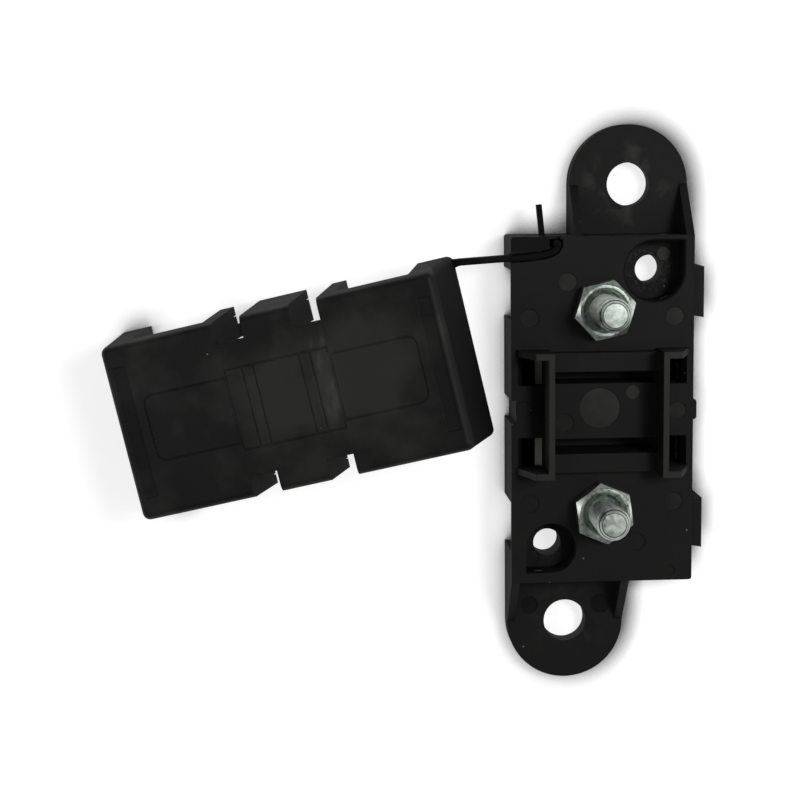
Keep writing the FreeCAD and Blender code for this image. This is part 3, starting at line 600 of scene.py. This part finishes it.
strap_nylon = moulded_nylon("bent_strap_nylon", strap_colours, strap_roughness, smooth_grain, smooth_edge_round,
                            smooth_dust_above, unworn)
middle = pivot_a.lerp(pivot_b, 0.5)
band = rounded_section(strap_thickness, strap_height, strap_edge_round)
form = bmesh.new()
inside = smooth_route([Vector((x, y, strap_middle)) for x, y in strap_line])
outside = smooth_route([Vector((*strap_line[0], strap_middle)), pivot_a, middle], 8)[1:]
sweep(form, inside[::-1] + outside, band)
knob(form, Vector((*knob_place, 0)), knob_diameter / 2, knob_low, knob_high, knob_edge)
tail = smooth_route([Vector((x, y, tail_middle)) for x, y in tail_line], 6)
sweep(form, tail, rounded_section(tail_width, tail_height, tail_edge_round))
strap_hook = settle("strap_hook", form)
dress(strap_hook, strap_nylon)
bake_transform(strap_hook)
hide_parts("tether_anchor")

form = bmesh.new()
yaw = math.radians(cover_yaw)
root_end = pivot_b - Vector((math.cos(yaw), math.sin(yaw), root_fall)) * root_length
run = smooth_route([middle, pivot_b + (middle - pivot_b).normalized() * 0.5, pivot_b, root_end], 6)
flare = [1 + root_flare * max(0.0, 1 - (len(run) - 1 - k) / flare_rings) ** 2 for k in range(len(run))]
sweep(form, run, band, flare)
strap_run = settle("strap_run", form)
dress(strap_run, strap_nylon)
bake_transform(strap_run)
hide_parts("tether_span")

# Cover: a drafted box moulded in unfilled nylon, with windows for the cable lugs, four notches over
# its clip hooks and a plain fuse figure on top. It is smoother than the base, so it looks a shade lighter.
cover_colours = ("#0e0e0e", "#161615")
cover_roughness = (0.46, 0.56)
cover_top_centre = (-46.56, 3.64)
sheen_centre = (5.5, 2.0)
sheen_reach = (19.0, 3.0)
sheen_squeeze = 1.6
smudge_size = 9.0
streak_size = 1.6
gleam_middle = 6.3
gleam_edge = (2.2, 0.6)
gleam_ends = ((-8.5, -2.0), (10.5, 7.0))
band_middle = 21.83
band_edge = (1.3, 0.7)
band_ends = (10.5, 7.5)
end_shade_from = 24.2
notch_reach = 9.0
notch_from = 9.0
smudge_and_highlight_colours = ("#2e2e2d", "#3c3c3b")
shaded_colour = "#020202"


# Smudges from handling, a few millimetres wide, lie all over the cover. Its middle is smoother and carries a
# painted sheen, with a streaky painted highlight across the figure. A faint band near each end, the notches'
# walls and the end wall beside the base are painted dark as shade and stay dull. u runs along the cover and v
# across it.
def smudges_and_painted_light(tree, place):
    patch = add(tree, "ShaderNodeTexNoise", {"Vector": place, "Scale": 1 / (smudge_size * mm), "Detail": 3.0,
                                             "Roughness": 0.55})
    own = add(tree, "ShaderNodeMapping", {"Vector": place, "Location": [c * mm for c in cover_top_centre] + [0.0],
                                          "Rotation": (0.0, 0.0, math.radians(cover_yaw))}, vector_type="TEXTURE")
    u, v = add(tree, "ShaderNodeSeparateXYZ", {0: own}).outputs[:2]
    along = add(tree, "ShaderNodeMath", {0: u}, operation="ABSOLUTE")
    across = add(tree, "ShaderNodeMath", {0: v}, operation="ABSOLUTE")

    # Painted sheen over the middle
    du = add(tree, "ShaderNodeMath", {0: u, 1: sheen_centre[0] * mm}, operation="SUBTRACT")
    dv = add(tree, "ShaderNodeMath", {0: v, 1: sheen_centre[1] * mm}, operation="SUBTRACT")
    dv = add(tree, "ShaderNodeMath", {0: dv, 1: sheen_squeeze}, operation="MULTIPLY")
    du = add(tree, "ShaderNodeMath", {0: du, 1: du}, operation="MULTIPLY")
    dv = add(tree, "ShaderNodeMath", {0: dv, 1: dv}, operation="MULTIPLY")
    away = add(tree, "ShaderNodeMath", {0: du, 1: dv}, operation="ADD")
    away = add(tree, "ShaderNodeMath", {0: away}, operation="SQRT")
    painted_sheen = add(tree, "ShaderNodeMapRange", {"Value": away, "From Min": sheen_reach[0] * mm,
                                                "From Max": sheen_reach[1] * mm, "To Max": 0.32},
                   interpolation_type="SMOOTHSTEP")
    lifted = add(tree, "ShaderNodeMath", {0: patch, 1: painted_sheen}, operation="ADD")
    smudge_and_sheen = add(tree, "ShaderNodeMapRange", {"Value": lifted, "From Min": 0.48, "From Max": 0.78, "To Max": 0.8})

    # Painted highlight: a streaky gleam across the figure
    long = add(tree, "ShaderNodeMapping", {"Vector": own, "Scale": (1.0, 0.35, 1.0)})
    streak = add(tree, "ShaderNodeTexNoise", {"Vector": long, "Scale": 1 / (streak_size * mm), "Detail": 3.0})
    streak = add(tree, "ShaderNodeMapRange", {"Value": streak, "From Min": 0.35, "From Max": 0.65,
                                              "To Min": 0.25})
    off = add(tree, "ShaderNodeMath", {0: u, 1: gleam_middle * mm}, operation="SUBTRACT")
    off = add(tree, "ShaderNodeMath", {0: off}, operation="ABSOLUTE")
    gleam = add(tree, "ShaderNodeMapRange", {"Value": off, "From Min": gleam_edge[0] * mm,
                                             "From Max": gleam_edge[1] * mm}, interpolation_type="SMOOTHSTEP")
    high, low = (add(tree, "ShaderNodeMapRange", {"Value": v, "From Min": start * mm, "From Max": end * mm})
                 for start, end in gleam_ends)
    ends = add(tree, "ShaderNodeMath", {0: high, 1: low}, operation="MULTIPLY")
    gleam = add(tree, "ShaderNodeMath", {0: gleam, 1: ends}, operation="MULTIPLY")
    gleam = add(tree, "ShaderNodeMath", {0: gleam, 1: streak}, operation="MULTIPLY")

    # Painted shade: darker bands, the end wall and the notches' walls, which stay dull
    off = add(tree, "ShaderNodeMath", {0: along, 1: band_middle * mm}, operation="SUBTRACT")
    off = add(tree, "ShaderNodeMath", {0: off}, operation="ABSOLUTE")
    inside, ends = (add(tree, "ShaderNodeMapRange", {"Value": way, "From Min": start * mm, "From Max": end * mm},
                        interpolation_type="SMOOTHSTEP")
                    for way, (start, end) in ((off, band_edge), (across, band_ends)))
    band = add(tree, "ShaderNodeMath", {0: inside, 1: ends}, operation="MULTIPLY")
    band = add(tree, "ShaderNodeMath", {0: band, 1: 0.3}, operation="MULTIPLY")
    end_wall_shade = add(tree, "ShaderNodeMath", {0: u, 1: end_shade_from * mm}, operation="GREATER_THAN")
    yaw = math.radians(cover_yaw)
    normal = add(tree, "ShaderNodeNewGeometry").outputs["True Normal"]
    turned = add(tree, "ShaderNodeVectorMath", {0: normal, 1: (math.cos(yaw), math.sin(yaw), 0.0)},
                 operation="DOT_PRODUCT").outputs["Value"]
    turned = add(tree, "ShaderNodeMath", {0: turned}, operation="ABSOLUTE")
    facing = add(tree, "ShaderNodeMath", {0: turned, 1: 0.6}, operation="GREATER_THAN")
    within = add(tree, "ShaderNodeMath", {0: along, 1: notch_reach * mm}, operation="LESS_THAN")
    beyond = add(tree, "ShaderNodeMath", {0: across, 1: notch_from * mm}, operation="GREATER_THAN")
    notch_shade = add(tree, "ShaderNodeMath", {0: within, 1: beyond}, operation="MULTIPLY")
    notch_shade = add(tree, "ShaderNodeMath", {0: notch_shade, 1: facing}, operation="MULTIPLY")
    notch_shade = add(tree, "ShaderNodeMath", {0: notch_shade, 1: 0.9}, operation="MULTIPLY")
    painted_shade = add(tree, "ShaderNodeMath", {0: band, 1: notch_shade}, operation="MAXIMUM")
    painted_shade = add(tree, "ShaderNodeMath", {0: painted_shade, 1: end_wall_shade}, operation="MAXIMUM")

    smudge_and_highlight = add(tree, "ShaderNodeMath", {0: smudge_and_sheen, 1: gleam}, operation="MAXIMUM")
    clear = add(tree, "ShaderNodeMath", {0: 1.0, 1: painted_shade}, operation="SUBTRACT")
    wear_and_light = add(tree, "ShaderNodeMath", {0: smudge_and_highlight, 1: clear, 2: painted_shade}, operation="MULTIPLY_ADD")
    bright = add(tree, "ShaderNodeMath", {0: smudge_and_highlight, 1: clear}, operation="MULTIPLY")
    dull = add(tree, "ShaderNodeMath", {0: painted_shade, 1: dulling}, operation="MULTIPLY")
    shine = add(tree, "ShaderNodeMath", {0: bright, 1: dull}, operation="SUBTRACT")
    # Smudge paint, paler where the painted highlight lies, and near black for the painted shade
    paint = add(tree, "ShaderNodeMix", {0: gleam, 6: srgb(smudge_and_highlight_colours[0]), 7: srgb(smudge_and_highlight_colours[1])},
                data_type="RGBA")
    part = add(tree, "ShaderNodeMath", {0: wear_and_light, 1: 0.001}, operation="MAXIMUM")
    part = add(tree, "ShaderNodeMath", {0: painted_shade, 1: part}, operation="DIVIDE")
    paint = add(tree, "ShaderNodeMix", {0: part, 6: paint.outputs[2], 7: srgb(shaded_colour)}, data_type="RGBA")
    return wear_and_light, paint.outputs[2], shine


cover_nylon = moulded_nylon("unfilled_nylon", cover_colours, cover_roughness, smooth_grain, smooth_edge_round,
                            smooth_dust_above, smudges_and_painted_light)
dress(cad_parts["cover"], cover_nylon)

# Floor: a plain white sweep that takes the object's soft shadow, with a painted contact shadow, a darker rim
# where the object touches it that leans to the right, as in the photograph. Under the screw holes it stays white.
floor_half = 3.0
floor_drop = 0.1
floor_colour = "#bcbcbc"
floor_glow = 0.75
contact_reach = 4.2
contact_lean = (-0.42, 0.0, 0.91)
white_under = ((recess_x, recess_y, 3.0), (ear_x, ear_y, 3.4))
corners = [(-floor_half, -floor_half, 0), (floor_half, -floor_half, 0), (floor_half, floor_half, 0),
           (-floor_half, floor_half, 0)]
floor_mesh = bpy.data.meshes.new("floor")
floor_mesh.from_pydata(corners, [], [(0, 1, 2, 3)])
floor = bpy.data.objects.new("floor", floor_mesh)
floor.location.z = -floor_drop * mm
bpy.context.scene.collection.objects.link(floor)
paper, tree = new_material("white_paper")
lean = add(tree, "ShaderNodeCombineXYZ", {0: contact_lean[0], 2: contact_lean[2]})
# Painted contact shadow: an occlusion test darkens the floor's colour and glow near the object
near = add(tree, "ShaderNodeAmbientOcclusion", {"Distance": contact_reach * mm, "Normal": lean}, samples=8)
shade = add(tree, "ShaderNodeMapRange", {"Value": near.outputs["AO"], "From Min": 0.5, "From Max": 0.95,
                                         "To Min": 0.08})
spot = add(tree, "ShaderNodeTexCoord").outputs["Object"]
for hole_x, hole_y, reach in white_under:
    for side in (1, -1):
        off = add(tree, "ShaderNodeVectorMath", {0: spot, 1: (side * hole_x * mm, side * hole_y * mm, 0.0)},
                  operation="DISTANCE")
        under = add(tree, "ShaderNodeMath", {0: off.outputs["Value"], 1: reach * mm}, operation="LESS_THAN")
        shade = add(tree, "ShaderNodeMath", {0: shade, 1: under}, operation="MAXIMUM")
tone = add(tree, "ShaderNodeMix", {0: shade, 6: srgb("#000000"), 7: srgb(floor_colour)}, data_type="RGBA")
sheet = add(tree, "ShaderNodeBsdfDiffuse", {"Color": tone.outputs[2]})
light = add(tree, "ShaderNodeMath", {0: shade, 1: floor_glow}, operation="MULTIPLY")
glow = add(tree, "ShaderNodeEmission", {"Color": srgb("#ffffff"), "Strength": light})
both = add(tree, "ShaderNodeAddShader", {0: sheet, 1: glow})
add(tree, "ShaderNodeOutputMaterial", {"Surface": both})
dress(floor, paper)

# Studio light: one small lamp high on the right for the crisp dark shadows inside the part, two weaker boxes
# on the sides, and a light tent. The tent is brightest in a ring high up, a little more so on the right, and
# dim low down and straight above, which keeps flat tops dark.
lamps = (("key_high_right", (0.19, 0.12, 0.51), 0.14, 1.2),
         ("side_right", (0.55, -0.05, 0.25), 0.3, 0.5),
         ("side_left", (-0.45, 0.0, 0.48), 0.15, 0.5))
lamp_target = Vector((-0.02, 0.0, 0.0))
for name, spot, size, power in lamps:
    lamp = bpy.data.lights.new(name, "AREA")
    lamp.shape = "SQUARE"
    lamp.size = size
    lamp.energy = power
    holder = bpy.data.objects.new(name, lamp)
    holder.location = spot
    holder.rotation_euler = (lamp_target - Vector(spot)).to_track_quat("-Z", "Y").to_euler()
    bpy.context.scene.collection.objects.link(holder)

world = bpy.data.worlds.new("studio")
bpy.context.scene.world = world
world.use_nodes = True
tree = world.node_tree
tree.nodes.clear()
way = add(tree, "ShaderNodeSeparateXYZ", {0: add(tree, "ShaderNodeTexCoord").outputs["Generated"]}).outputs
wall = add(tree, "ShaderNodeMapRange", {"Value": way[2], "From Min": 0.3, "From Max": 0.75, "To Min": 0.15,
                                        "To Max": 0.38}, interpolation_type="SMOOTHSTEP")
hole = add(tree, "ShaderNodeMapRange", {"Value": way[2], "From Min": 0.9, "From Max": 0.97, "To Min": 1.0,
                                        "To Max": 0.15}, interpolation_type="SMOOTHSTEP")
right = add(tree, "ShaderNodeMapRange", {"Value": way[0], "From Min": -1.0, "To Min": 0.7, "To Max": 1.1})
tent = add(tree, "ShaderNodeMath", {0: wall, 1: hole}, operation="MULTIPLY")
tent = add(tree, "ShaderNodeMath", {0: tent, 1: right}, operation="MULTIPLY")
sky = add(tree, "ShaderNodeBackground", {"Color": srgb("#ffffff"), "Strength": tent})
add(tree, "ShaderNodeOutputWorld", {"Surface": sky})

# Camera: almost straight above, a little to the left of the base, as in the photograph. Its lens, place
# and turn were solved from the edges and holes of the base that are seen there.
lens = bpy.data.cameras.new("camera")
lens.lens = 85.508
lens.sensor_width = 36.0
lens.clip_start = 0.01
camera = bpy.data.objects.new("camera", lens)
camera.location = (-0.0465707, 0.0395512, 0.2838364)
camera.rotation_euler = (-0.134363, -0.06205, -0.01018)
bpy.context.scene.collection.objects.link(camera)
bpy.context.scene.camera = camera
bpy.context.scene.view_settings.view_transform = "Standard"
